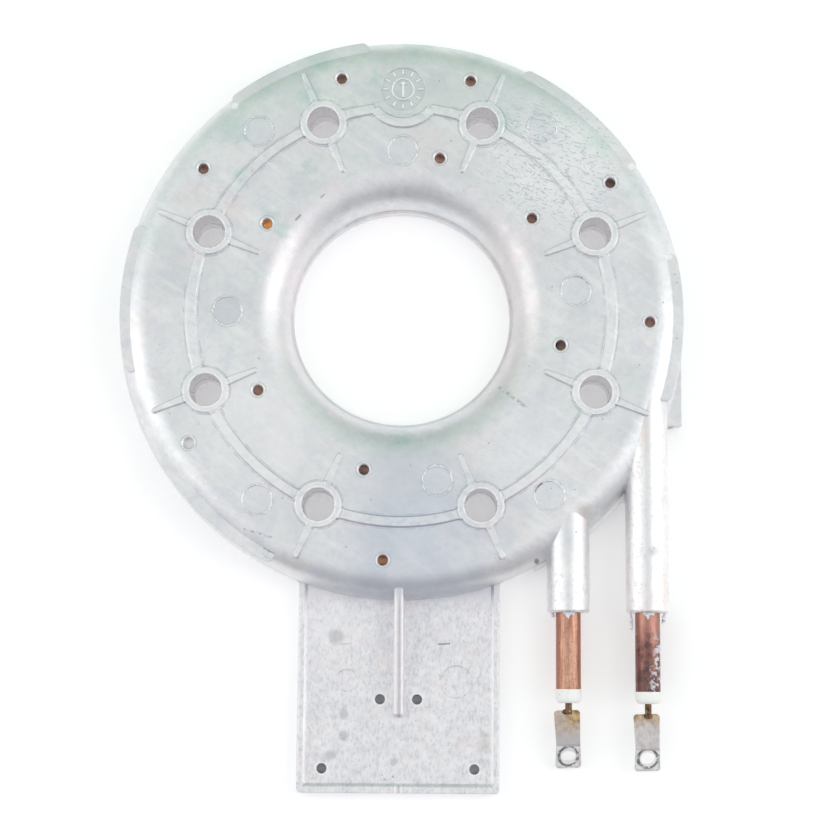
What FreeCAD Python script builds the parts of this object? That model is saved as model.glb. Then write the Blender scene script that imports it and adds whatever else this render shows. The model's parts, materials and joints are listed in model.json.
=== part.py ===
import FreeCAD, Part
import math
import os

# Cast-in ring heater: a die-cast aluminium ring with a bolting plate, and one copper-sheathed
# tubular element cast into it, bent into two turns with its two ends led out through sleeves.
# Millimetres. The origin is the centre of the bore on the back face, +Z points to the ribbed
# front, and the plate and the terminals point along -Y.

Vec = FreeCAD.Vector
UP = Vec(0, 0, 1)
ALONG_Y = Vec(0, 1, 0)
INSIDE = 3.0            # how far a feature is carried into the body that it grows from
OVERRUN = 2.0           # how far a cutter is carried past the face that it opens

# Layout: the ring is as wide as the element's two turns need
boss_circle_r = 70.0
outer_turn_out = 13.0   # element's outer turn, beyond the bolt circle
inner_turn_in = 15.7    # element's inner turn, inside the bolt circle
rim_wall = 12.35        # outer turn to the ring's edge
bore_wall = 17.6        # inner turn to the bore
outer_turn_r = boss_circle_r + outer_turn_out
inner_turn_r = boss_circle_r - inner_turn_in

# Ring
ring_r = outer_turn_r + rim_wall
bore_r = inner_turn_r - bore_wall
back_h = 6.3            # back face to the parting plane of the die
front_h = 10.0          # parting plane to the front flat
outer_round_r = 10.0
bore_round_r = 12.2
bore_land_w = 0.8       # narrow land where the two die halves shut off in the bore
back_chamfer = 0.8
front_z = back_h + front_h

# Bolt bosses
boss_count = 8
boss_start_deg = 22.5
bolt_hole_r = 5.25      # core pin of the back half
front_core_r = 5.4      # core pin of the front half
collar_wall = 2.1
collar_h = 1.1
collar_draft = 0.45
hole_chamfer = 0.15
collar_r = front_core_r + collar_wall
collar_z = front_z + collar_h

# Raised ribs on the front
rib_h = 0.85
rib_draft = 0.7
hoop_top_w = 2.9
hoop_out = 0.25         # beyond the bolt circle
hoop_flare = 0.9        # added to each side of the hoop rib at a collar
hoop_flare_len = 3.2
spoke_top_w = 1.3       # at its tip
spoke_flare = 0.65      # added to each side at the collar
spoke_draft = 0.55
spoke_out_len = 11.3    # beyond the collar, outwards
spoke_in_len = 10.7     # beyond the collar, inwards
spoke_h = 1.0

# Date dial: a plain clock face with ticks and a pointer
dial_out = 6.8          # beyond the bolt circle
dial_r = 7.4
dial_depth = 0.35
dial_hub_r = 3.9
dial_hub_w = 0.5
dial_tick_count = 12
dial_tick_w = 0.6
dial_tick_len = 1.7
dial_edge_w = 0.6       # dial's edge to the ticks
dial_pointer_w = 0.8
dial_head_w = 2.6
dial_rib_gap = 4.5      # dial edge to the middle of the rib that bends round it
dial_y = boss_circle_r + dial_out

# Lands on the rim, which the ejector pins push against
land_inset = 1.05       # from the ring's widest edge
land_w = 4.8
land_drop = 1.6         # front flat to the land
land_span_deg = 31.4
land_centres_deg = (48.0, 113.0, 177.2, 227.6, 357.2)
land_mark_r = 2.2
land_mark_in = 3.5      # land's outer edge to the pin mark on the land by the plate
land_mark_deg = 242.0
land_r = ring_r - land_inset

# Ejector pin marks
pin_mark_r = 4.75
pin_mark_depth = 0.3
pin_mark_out = 8.7      # beyond the bolt circle
pin_outer_deg = (53.4, 128.2, 233.4, 308.9)
pin_inner_places = ((-11.3, 7.4), (-14.5, 89.9), (-12.0, 180.0), (-12.2, 282.4))

# Tubular element
sheath_r = 4.1
sheath_wall = 0.8
element_rise = 2.7      # axis of the element above the parting plane
hairpin_deg = 292.5     # the hairpin goes round the bolt boss at this angle
long_crank_y = -8.0     # where each leg starts to crank from its turn to its sleeve
short_crank_y = -36.0
long_crank_step = -1.0
short_crank_step = 1.6
crank_len = 25.0
sheath_out = 25.7       # beyond the sleeve's mouth
short_sheath_less = 0.7
cast_gap = 0.01         # film between the sheath and the metal cast round it
fill_gap = 0.01         # between the sheath and the magnesia
coil_r = 1.5            # outside of the close-wound resistance coil
coil_gap = 0.01
element_z = back_h + element_rise
long_leg_x = outer_turn_r + long_crank_step
short_leg_x = inner_turn_r + short_crank_step

# Terminal ends
pin_r = 1.1
pin_lead = 3.0          # crank to the inner end of the cold pins
pin_gap = 0.05          # pin in the bead
bead_r = 4.35
long_bead_h = 3.9
short_bead_h = 4.5
bead_edge_r = 1.8
bead_spigot_len = 3.0
bead_gap = 0.05
long_bead_to_tab = 3.3
short_bead_to_tab = 2.35
weld_len = 1.3
weld_clear = 0.1        # pin's flat beyond the tab's edge
weld_flat = 0.6         # pin axis to the flat that is welded to the tab
tab_t = 0.8
tab_top_w = 8.6
tab_waist_w = 7.8
tab_foot_w = 8.5
tab_flat_len = 10.7
tab_bend_r = 1.6
tab_corner_r = 1.2
tab_hole_r = 2.45
tab_collar_w = 0.7
tab_collar_h = 0.8
tab_offset = -0.5       # the tabs are welded a little to one side of the pins
long_tab_bend_deg = 24.0
short_tab_bend_deg = 35.0
long_tab_lean_deg = 1.6
short_tab_lean_deg = 2.3
long_foot_len = 7.95    # beyond the bend
short_foot_len = 8.95
long_hole_out = 2.9     # hole's centre beyond the bend
short_hole_out = 3.4
pin_inner_y = short_crank_y - crank_len - pin_lead

# Sleeves cast round the two legs
sleeve_wall = 3.0
sleeve_reach = 3.95     # mouth beyond the ring's lowest point
sleeve_edge_r = 0.9
sleeve_bury = 28.0      # how far past the ring's rim a sleeve is carried into it
sleeve_r = sheath_r + sleeve_wall
sleeve_mouth_y = -ring_r - sleeve_reach
long_sheath_end_y = sleeve_mouth_y - sheath_out
short_sheath_end_y = long_sheath_end_y + short_sheath_less

# Locator holes, left by the pins that hold the element in the die
locator_r = 1.7
locator_chamfer = 0.5
locator_outer_deg = (32.5, 74.0, 104.5, 144.0, 266.3, 358.0)
locator_inner_deg = (36.5, 76.6, 146.5, 209.4, 257.4, 348.4)
closed_locator_deg = 212.5
closed_locator_depth = 2.0

# Casting leftovers on the rim, just behind the parting plane
ledge_w = 1.4
ledge_h = 2.6
ledge_lead = 3.6        # from the short sleeve to the ledge's free end
web_len = 3.4           # of the small web between the ledge and the long sleeve
web_w = 2.3
gate_low_deg = -22.45
gate_len = 22.0
gate_h = 5.2
gate_slant = 1.3

# Bolting plate
plate_half_w = 33.4
plate_len = 63.25       # beyond the ring's lowest point
plate_t = 3.3
plate_rim_h = 1.3
plate_side_rim_w = 1.9
plate_end_rim_w = 2.1
plate_rim_slope = 1.0
plate_corner_r = 1.5
plate_root_r = 2.0
plate_hole_r = 1.65
plate_hole_floor = 0.6  # thickness left under the blind holes
near_holes_in = 30.55   # from the plate's end
near_holes_pitch = 12.3
far_holes_in = 7.85     # from the plate's end
far_holes_pitch = 50.4
plate_marks = ((-17.2, 6.15, 3.6), (19.15, 5.85, 5.3))  # across, above the near holes, radius
stiffener_top_w = 3.0
stiffener_draft = 0.5
stiffener_past_holes = 5.7
stiffener_drop = 2.0    # front flat to the stiffener's high end
stiffener_end_h = 3.4   # height over the plate at its low end
stiffener_nose_r = 1.5
stiffener_edge_r = 0.8
plate_top_z = plate_t + plate_rim_h
plate_end_y = -ring_r - plate_len
near_holes_y = plate_end_y + near_holes_in
far_holes_y = plate_end_y + far_holes_in
stiffener_end_y = near_holes_y - stiffener_past_holes


def round_edges_at(bar, y):
    """The circular edges of a bar along Y that lie at one end."""
    return [e for e in bar.Edges if isinstance(e.Curve, Part.Circle) and abs(e.Curve.Center.y - y) < 1e-6]


def on_circle(r, deg, z=0.0, centre=(0.0, 0.0)):
    a = math.radians(deg)
    return Vec(centre[0] + r * math.cos(a), centre[1] + r * math.sin(a), z)


def line(a, b):
    return Part.LineSegment(a, b).toShape()


def arc(r, start_deg, end_deg, z=0.0, centre=(0.0, 0.0)):
    middle = on_circle(r, (start_deg + end_deg) / 2, z, centre)
    return Part.Arc(on_circle(r, start_deg, z, centre), middle, on_circle(r, end_deg, z, centre)).toShape()


def polygon(points):
    return Part.Wire([line(a, b) for a, b in zip(points, points[1:] + points[:1])])


def cylinder(r, z0, z1, x=0.0, y=0.0):
    return Part.makeCylinder(r, z1 - z0, Vec(x, y, z0), UP)


def cone(r0, r1, z0, z1, x=0.0, y=0.0):
    return Part.makeCone(r0, r1, z1 - z0, Vec(x, y, z0), UP)


def rod(r, x, z, y0, y1):
    """A round bar along Y between two heights on the drawing."""
    return Part.makeCylinder(r, abs(y1 - y0), Vec(x, min(y0, y1), z), ALONG_Y)


def boss_angles():
    return [boss_start_deg + i * 360.0 / boss_count for i in range(boss_count)]


def meeting_deg(r, d, other_r):
    """Direction, from the centre of a circle of radius r, of its meeting with another at distance d."""
    return math.degrees(math.acos((r * r + d * d - other_r * other_r) / (2 * r * d)))


# ---------------------------------------------------------------- ring casting

def ring_body():
    """The plain ring: flat back, flat front, a round rim and a wide bell-mouthed bore."""
    rim_z = front_z - outer_round_r
    flat_outer_r = ring_r - outer_round_r
    mouth_r = bore_r + bore_land_w
    flat_inner_r = mouth_r + bore_round_r
    land_z = front_z - bore_round_r
    s = math.sin(math.radians(45))
    rim_mid = Vec(flat_outer_r + outer_round_r * s, 0, rim_z + outer_round_r * s)
    bell_mid = Vec(flat_inner_r - bore_round_r * s, 0, land_z + bore_round_r * s)
    edges = [
        line(Vec(bore_r, 0, 0), Vec(ring_r - back_chamfer, 0, 0)),
        line(Vec(ring_r - back_chamfer, 0, 0), Vec(ring_r, 0, back_chamfer)),
        line(Vec(ring_r, 0, back_chamfer), Vec(ring_r, 0, rim_z)),
        Part.Arc(Vec(ring_r, 0, rim_z), rim_mid, Vec(flat_outer_r, 0, front_z)).toShape(),
        line(Vec(flat_outer_r, 0, front_z), Vec(flat_inner_r, 0, front_z)),
        Part.Arc(Vec(flat_inner_r, 0, front_z), bell_mid, Vec(mouth_r, 0, land_z)).toShape(),
        line(Vec(mouth_r, 0, land_z), Vec(bore_r, 0, land_z)),
        line(Vec(bore_r, 0, land_z), Vec(bore_r, 0, 0)),
    ]
    return Part.Face(Part.Wire(edges)).revolve(Vec(0, 0, 0), UP, 360)


def boss_collars():
    low_r = collar_r + collar_draft
    return [cone(low_r, collar_r, front_z - collar_h, collar_z, p.x, p.y) for p in boss_centres()]


def boss_centres():
    return [on_circle(boss_circle_r, deg) for deg in boss_angles()]


def bolt_holes():
    """Each hole is cored from both sides, and the two cores meet at the parting plane."""
    cutters = []
    for p in boss_centres():
        cutters.append(cylinder(bolt_hole_r, -OVERRUN, back_h + OVERRUN, p.x, p.y))
        cutters.append(cylinder(front_core_r, back_h, collar_z + OVERRUN, p.x, p.y))
        wide_r = front_core_r + hole_chamfer
        cutters.append(cone(front_core_r, wide_r, collar_z - hole_chamfer, collar_z, p.x, p.y))
    return cutters


def drafted_bar(start, end, top_w, draft, z0, z1, flare=0.0):
    """A bar with round ends and sloping sides, wider at its foot than at its top, and at its start."""
    def outline(half_w, z):
        along = math.degrees(math.atan2(end[1] - start[1], end[0] - start[0]))
        edges = [arc(half_w, along - 90, along + 90, z, end)]
        edges.append(arc(half_w + flare, along + 90, along + 270, z, start))
        ends = [(e.Vertexes[0].Point, e.Vertexes[-1].Point) for e in edges]
        edges.insert(1, line(ends[0][1], ends[1][0]))
        edges.append(line(ends[1][1], ends[0][0]))
        return Part.Wire(edges)
    return Part.makeLoft([outline(top_w / 2 + draft, z0), outline(top_w / 2, z1)], True, True)


def hoop_rib(r, start_deg, end_deg, centre=(0.0, 0.0)):
    """A low rib along an arc, with sloping sides."""
    half = hoop_top_w / 2
    foot = half + rib_draft
    points = [Vec(r - foot, 0, front_z - rib_h / 2), Vec(r + foot, 0, front_z - rib_h / 2)]
    points += [Vec(r + half, 0, front_z + rib_h), Vec(r - half, 0, front_z + rib_h)]
    rib = Part.Face(polygon(points)).revolve(Vec(0, 0, 0), UP, end_deg - start_deg)
    rib.rotate(Vec(0, 0, 0), UP, start_deg)
    rib.translate(Vec(centre[0], centre[1], 0))
    return rib


def hoop_ribs():
    """The rib that joins the bosses, which bends inwards round the date dial."""
    dip_r = dial_r + dial_rib_gap
    hoop_r = boss_circle_r + hoop_out
    half_gap = meeting_deg(hoop_r, dial_y, dip_r)
    dip_half = meeting_deg(dip_r, dial_y, hoop_r)
    around = hoop_rib(hoop_r, 90 + half_gap, 450 - half_gap)
    dip = hoop_rib(dip_r, 270 - dip_half, 270 + dip_half, (0.0, dial_y))
    return [around, dip] + hoop_flares(hoop_r)


def hoop_flares(hoop_r):
    """Short wedges that widen the hoop rib where it runs into each collar."""
    wedges = []
    near_deg = math.degrees((collar_r - hoop_top_w / 2) / hoop_r)
    far_deg = math.degrees((collar_r + hoop_flare_len) / hoop_r)
    for deg in boss_angles():
        for side in (-1, 1):
            near = on_circle(hoop_r, deg + side * near_deg)
            far = on_circle(hoop_r, deg + side * far_deg)
            wedges.append(drafted_bar((near.x, near.y), (far.x, far.y), hoop_top_w / 2, rib_draft,
                                      front_z - rib_h / 2, front_z + rib_h, hoop_top_w / 4 + hoop_flare))
    return wedges


def spokes():
    """A short rib each side of every boss, along its radius."""
    bars = []
    for deg in boss_angles():
        for side, length in ((1, spoke_out_len), (-1, spoke_in_len)):
            start = on_circle(boss_circle_r + side * (collar_r - 2 * spoke_top_w), deg)
            end = on_circle(boss_circle_r + side * (collar_r + length - spoke_top_w / 2), deg)
            z0 = front_z - spoke_h
            bars.append(drafted_bar((start.x, start.y), (end.x, end.y), spoke_top_w, spoke_draft, z0,
                                    front_z + spoke_h, spoke_flare))
    return bars


def rim_lands():
    """Flat lands with round ends, set into the round of the rim."""
    cap_r = land_w / 2
    mid_r = land_r - cap_r
    half = land_span_deg / 2 - math.degrees(cap_r / mid_r)
    z0 = back_h
    z1 = front_z - land_drop
    lands = []
    for deg in land_centres_deg:
        points = [Vec(mid_r - cap_r, 0, z0), Vec(land_r, 0, z0)]
        points += [Vec(land_r, 0, z1), Vec(mid_r - cap_r, 0, z1)]
        land = Part.Face(polygon(points)).revolve(Vec(0, 0, 0), UP, 2 * half)
        land.rotate(Vec(0, 0, 0), UP, deg - half)
        caps = [on_circle(mid_r, deg + side * half) for side in (-1, 1)]
        lands.append(land.multiFuse([cylinder(cap_r, z0, z1, p.x, p.y) for p in caps]))
    return lands


def date_dial():
    """Ticks, a hub ring and a pointer that stand in the sunk face of the dial, and the face's cutter."""
    floor = front_z - dial_depth
    low = floor - dial_depth
    face = cylinder(dial_r, floor, front_z + OVERRUN, 0, dial_y)
    hub = cylinder(dial_hub_r, low, front_z, 0, dial_y)
    marks = [hub.cut(cylinder(dial_hub_r - dial_hub_w, floor, front_z, 0, dial_y))]
    tick_in = dial_r - dial_edge_w - dial_tick_len
    for i in range(dial_tick_count):
        tick = Part.makeBox(dial_tick_len, dial_tick_w, front_z - low, Vec(tick_in, -dial_tick_w / 2, low))
        tick.rotate(Vec(0, 0, 0), UP, i * 360.0 / dial_tick_count)
        tick.translate(Vec(0, dial_y, 0))
        marks.append(tick)
    reach = dial_hub_r - 2 * dial_hub_w
    neck_y = dial_y + reach - dial_head_w / 2
    half = dial_pointer_w / 2
    pointer = polygon([Vec(-half, dial_y - reach, low), Vec(half, dial_y - reach, low),
                       Vec(half, neck_y, low), Vec(dial_head_w / 2, neck_y, low),
                       Vec(0, dial_y + reach, low), Vec(-dial_head_w / 2, neck_y, low),
                       Vec(-half, neck_y, low)])
    marks.append(Part.Face(pointer).extrude(Vec(0, 0, front_z - low)))
    return face, marks


def pin_marks():
    """Shallow round sinks left by the ejector pins, on the front, on one land and on the plate."""
    places = [(boss_circle_r + pin_mark_out, deg) for deg in pin_outer_deg]
    places += [(boss_circle_r + out, deg) for out, deg in pin_inner_places]
    marks = [(on_circle(r, deg), pin_mark_r, front_z) for r, deg in places]
    marks.append((on_circle(land_r - land_mark_in, land_mark_deg), land_mark_r, front_z - land_drop))
    marks += [(Vec(x, near_holes_y + up, 0), r, plate_t) for x, up, r in plate_marks]
    return [cylinder(r, z - pin_mark_depth, z, p.x, p.y) for p, r, z in marks]


def locator_holes():
    cutters = []
    for r, angles in ((outer_turn_r, locator_outer_deg), (inner_turn_r, locator_inner_deg)):
        for deg in angles:
            p = on_circle(r, deg)
            cutters += chamfered_hole(p, element_z)
    closed = on_circle(outer_turn_r, closed_locator_deg)
    return cutters + chamfered_hole(closed, front_z - closed_locator_depth)


def chamfered_hole(p, floor_z):
    wide_r = locator_r + locator_chamfer
    hole = cylinder(locator_r, floor_z, front_z + OVERRUN, p.x, p.y)
    return [hole, cone(locator_r, wide_r, front_z - locator_chamfer, front_z, p.x, p.y)]


def sleeve(x, z):
    """The tube of metal round one leg, with a rounded mouth."""
    rim_y = -math.sqrt(ring_r ** 2 - x ** 2)
    body = rod(sleeve_r, x, z, sleeve_mouth_y, rim_y + sleeve_bury)
    body = body.makeFillet(sleeve_edge_r, round_edges_at(body, sleeve_mouth_y))
    body.rotate(Vec(x, 0, z), ALONG_Y, 180)     # keeps the seam of its surface off the rim's round
    return body


def rim_leftovers():
    """The ledge between the sleeves, its web to the long sleeve, and the trimmed stub of the gate."""
    low = back_h - ledge_h
    ledge_r = ring_r + ledge_w
    start_deg = -math.degrees(math.acos((short_leg_x - sleeve_r - ledge_lead) / ledge_r))
    end_deg = -math.degrees(math.acos((long_leg_x - sleeve_r / 2) / ledge_r))
    points = [Vec(ring_r - INSIDE, 0, low), Vec(ledge_r, 0, low), Vec(ledge_r, 0, back_h)]
    points += [Vec(ring_r - INSIDE, 0, back_h)]
    ledge = Part.Face(polygon(points)).revolve(Vec(0, 0, 0), UP, end_deg - start_deg)
    ledge.rotate(Vec(0, 0, 0), UP, start_deg)

    side_x = long_leg_x - sleeve_r
    side_y = -math.sqrt(ledge_r ** 2 - side_x ** 2)
    side = [Vec(side_x - web_len, side_y, low), Vec(side_x + INSIDE, side_y - web_w, low)]
    side += [Vec(side_x + INSIDE, side_y + web_w, low), Vec(side_x - web_len, side_y + web_w, low)]
    web = Part.Face(polygon(side)).extrude(Vec(0, 0, ledge_h))

    gate_low_y = ring_r * math.sin(math.radians(gate_low_deg))
    root_x = ring_r * math.cos(math.radians(gate_low_deg)) - INSIDE
    stub = [Vec(root_x, gate_low_y - gate_slant, back_h), Vec(land_r, gate_low_y, back_h)]
    stub += [Vec(land_r, gate_low_y + gate_len, back_h), Vec(root_x, gate_low_y + gate_len, back_h)]
    gate = Part.Face(polygon(stub)).extrude(Vec(0, 0, -gate_h))
    return [ledge, web, gate]


def plate():
    """The bolting plate: a shallow tray with a rim on three sides, open to the ring."""
    root_y = -ring_r + outer_round_r
    low = (-plate_half_w, plate_end_y)
    blank = Part.makeBox(2 * plate_half_w, root_y - plate_end_y, plate_top_z, Vec(low[0], low[1], 0))
    corners = [e for e in blank.Edges if abs(e.Vertexes[0].Z - e.Vertexes[1].Z) > plate_t
               and abs(e.Vertexes[0].Y - plate_end_y) < 1e-6]
    blank = blank.makeFillet(plate_corner_r, corners)

    def tray_outline(grow, z):
        half = plate_half_w - plate_side_rim_w - plate_rim_slope + grow
        end = plate_end_y + plate_end_rim_w + plate_rim_slope - grow
        return polygon([Vec(-half, end, z), Vec(half, end, z), Vec(half, root_y + INSIDE, z),
                        Vec(-half, root_y + INSIDE, z)])
    tray = Part.makeLoft([tray_outline(0, plate_t), tray_outline(plate_rim_slope, plate_top_z)], True, True)
    return blank.cut(tray)


def root_fillets():
    """Concave fillets in the two corners where the plate's sides meet the rim."""
    webs = []
    for side in (-1, 1):
        c_x = plate_half_w + plate_root_r
        c_y = -math.sqrt((ring_r + plate_root_r) ** 2 - c_x ** 2)
        rim = Vec(side * c_x * ring_r / (ring_r + plate_root_r), c_y * ring_r / (ring_r + plate_root_r), 0)
        edge = Vec(side * plate_half_w, c_y, 0)
        inner = Vec(side * (plate_half_w - INSIDE), rim.y + INSIDE, 0)
        web = Part.Face(polygon([edge, rim, inner])).extrude(Vec(0, 0, plate_top_z))
        webs.append(web.cut(cylinder(plate_root_r, -OVERRUN, plate_top_z + OVERRUN, side * c_x, c_y)))
    return webs


def stiffener():
    """The tall rib down the middle of the plate, falling away from the ring."""
    root_y = -ring_r + outer_round_r / 2
    high = front_z - stiffener_drop
    low = plate_t + stiffener_end_h
    z0 = plate_t - plate_t / 2
    foot_end = stiffener_end_y + stiffener_top_w / 2
    bar = drafted_bar((0, root_y), (0, foot_end), stiffener_top_w, stiffener_draft, z0, high)
    nose_y = stiffener_end_y + stiffener_nose_r
    nose_z = low - stiffener_nose_r
    s = math.sin(math.radians(45))
    top = [
        line(Vec(0, root_y + INSIDE, z0), Vec(0, root_y + INSIDE, high)),
        line(Vec(0, root_y + INSIDE, high), Vec(0, root_y, high)),
        line(Vec(0, root_y, high), Vec(0, nose_y, low)),
        Part.Arc(Vec(0, nose_y, low), Vec(0, nose_y - stiffener_nose_r * s, nose_z + stiffener_nose_r * s),
                 Vec(0, stiffener_end_y, nose_z)).toShape(),
        line(Vec(0, stiffener_end_y, nose_z), Vec(0, stiffener_end_y - stiffener_draft, z0)),
        line(Vec(0, stiffener_end_y - stiffener_draft, z0), Vec(0, root_y + INSIDE, z0)),
    ]
    side_view = Part.Face(Part.Wire(top))
    side_view.translate(Vec(-stiffener_top_w, 0, 0))
    bar = bar.common(side_view.extrude(Vec(2 * stiffener_top_w, 0, 0)))
    widening = stiffener_draft / (high - z0)
    run = Vec((high - low) * widening, nose_y - root_y, low - high)
    return bar.cut([edge_cutter(side, root_y, high, run, widening) for side in (-1, 1)])


def edge_cutter(side, root_y, high, run, widening):
    """What is taken off along one top edge of the stiffener to round it."""
    r = stiffener_edge_r
    x = stiffener_top_w / 2
    s = math.sin(math.radians(45))
    rounding = Part.Arc(Vec(x - r, root_y, high), Vec(x - r + r * s, root_y, high - r + r * s),
                        Vec(x + r * widening, root_y, high - r)).toShape()
    outside = [Vec(x + r * widening, root_y, high - r), Vec(x + OVERRUN, root_y, high - r),
               Vec(x + OVERRUN, root_y, high + OVERRUN), Vec(x - r, root_y, high + OVERRUN),
               Vec(x - r, root_y, high)]
    sides = [line(a, b) for a, b in zip(outside, outside[1:])]
    cutter = Part.Face(Part.Wire([rounding] + sides)).extrude(run * 2)
    return cutter if side > 0 else cutter.mirror(Vec(0, 0, 0), Vec(1, 0, 0))


def plate_holes():
    cutters = []
    for y, pitch in ((near_holes_y, near_holes_pitch), (far_holes_y, far_holes_pitch)):
        for side in (-1, 1):
            cutters.append(cylinder(plate_hole_r, plate_hole_floor, plate_top_z, side * pitch / 2, y))
    return cutters


def ring_casting(element_space):
    dial_face, dial_marks = date_dial()
    grown = boss_collars() + hoop_ribs() + spokes() + rim_lands()
    grown += [sleeve(long_leg_x, element_z), sleeve(short_leg_x, element_z)]
    grown += rim_leftovers() + [plate(), stiffener()] + root_fillets()
    body = ring_body().multiFuse(grown)
    body = body.cut(bolt_holes() + pin_marks() + locator_holes() + plate_holes() + [dial_face])
    body = body.multiFuse(dial_marks)
    return body.cut(element_space).removeSplitter()


# ---------------------------------------------------------------- tubular element

def crank(turn_x, leg_x, start_y, z):
    """Two equal arcs that step a leg sideways from its turn to its sleeve, running towards -Y."""
    step = leg_x - turn_x
    half_turn = math.degrees(2 * math.atan(abs(step) / crank_len))
    r = crank_len / (2 * math.sin(math.radians(half_turn)))
    way = 1 if step > 0 else -1
    first = (turn_x + way * r, start_y)
    second = (leg_x - way * r, start_y - crank_len)
    if way > 0:
        return [arc(r, 180, 180 + half_turn, z, first), arc(r, half_turn, 0, z, second)]
    return [arc(r, 0, -half_turn, z, first), arc(r, 180 - half_turn, 180, z, second)]


def element_path(long_end_y, short_end_y):
    """Centreline: in by the long leg, round the outer turn, back by the hairpin and the inner turn."""
    z = element_z
    hairpin_r = (outer_turn_r - inner_turn_r) / 2
    hairpin = on_circle(outer_turn_r - hairpin_r, hairpin_deg)
    hairpin = (hairpin.x, hairpin.y)
    half = hairpin_deg / 2
    leg_in = [
        line(Vec(long_leg_x, long_end_y, z), Vec(long_leg_x, long_crank_y - crank_len, z)),
        *reversed_edges(crank(outer_turn_r, long_leg_x, long_crank_y, z)),
        line(Vec(outer_turn_r, long_crank_y, z), Vec(outer_turn_r, 0, z)),
    ]
    turns = [
        arc(outer_turn_r, 0, half, z),
        arc(outer_turn_r, half, hairpin_deg, z),
        arc(hairpin_r, hairpin_deg, hairpin_deg + 180, z, hairpin),
        arc(inner_turn_r, hairpin_deg, half, z),
        arc(inner_turn_r, half, 0, z),
    ]
    leg_out = [
        line(Vec(inner_turn_r, 0, z), Vec(inner_turn_r, short_crank_y, z)),
        *crank(inner_turn_r, short_leg_x, short_crank_y, z),
        line(Vec(short_leg_x, short_crank_y - crank_len, z), Vec(short_leg_x, short_end_y, z)),
    ]
    return Part.Wire(leg_in + turns + leg_out)


def reversed_edges(edges):
    """The same arcs in the other order and direction."""
    turned = []
    for e in reversed(edges):
        middle = e.valueAt((e.FirstParameter + e.LastParameter) / 2)
        turned.append(Part.Arc(e.valueAt(e.LastParameter), middle, e.valueAt(e.FirstParameter)).toShape())
    return turned


def tube_along(r, long_end_y, short_end_y):
    section = Part.Wire([Part.Circle(Vec(long_leg_x, long_end_y, element_z), ALONG_Y, r).toShape()])
    return element_path(long_end_y, short_end_y).makePipeShell([section], True, False)


def heater_sheath():
    outside = tube_along(sheath_r, long_sheath_end_y, short_sheath_end_y)
    return outside.cut(tube_along(sheath_r - sheath_wall, long_sheath_end_y, short_sheath_end_y))


def resistance_coil():
    """The close-wound coil, as the round bar that it fills, between the two cold pins."""
    return tube_along(coil_r, pin_inner_y, pin_inner_y)


def magnesia_fill():
    """The pressed powder between the coil, the pins and the sheath, up to the beads' spigots."""
    fill_r = sheath_r - sheath_wall - fill_gap
    long_end = long_sheath_end_y + bead_spigot_len
    short_end = short_sheath_end_y + bead_spigot_len
    fill = tube_along(fill_r, long_end, short_end)
    spaces = [tube_along(coil_r + coil_gap, pin_inner_y, pin_inner_y)]
    for x, end in ((long_leg_x, long_end), (short_leg_x, short_end)):
        spaces.append(rod(pin_r + coil_gap, x, element_z, end - OVERRUN, pin_inner_y))
    return fill.cut(spaces)


# ---------------------------------------------------------------- terminal ends

def terminal_pin(x, tab_top_y):
    """The cold pin, round but for the flat at its end that is welded to the tab."""
    end_y = tab_top_y - weld_len
    pin = rod(pin_r, x, element_z, end_y, pin_inner_y)
    low = Vec(x - pin_r, end_y, element_z - weld_flat - pin_r)
    flat = Part.makeBox(2 * pin_r, weld_len + weld_clear, pin_r, low)
    return pin.cut(flat)


def ceramic_bead(x, sheath_end_y, face_y):
    """The insulating bead: a domed head against the sheath and a spigot inside it."""
    head = rod(bead_r, x, element_z, face_y, sheath_end_y)
    head = head.makeFillet(bead_edge_r, round_edges_at(head, face_y))
    spigot_r = sheath_r - sheath_wall - bead_gap
    bead = head.fuse(rod(spigot_r, x, element_z, sheath_end_y, sheath_end_y + bead_spigot_len))
    bore_end_y = sheath_end_y + bead_spigot_len + OVERRUN
    return bead.cut(rod(pin_r + pin_gap, x, element_z, face_y - OVERRUN, bore_end_y))


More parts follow.
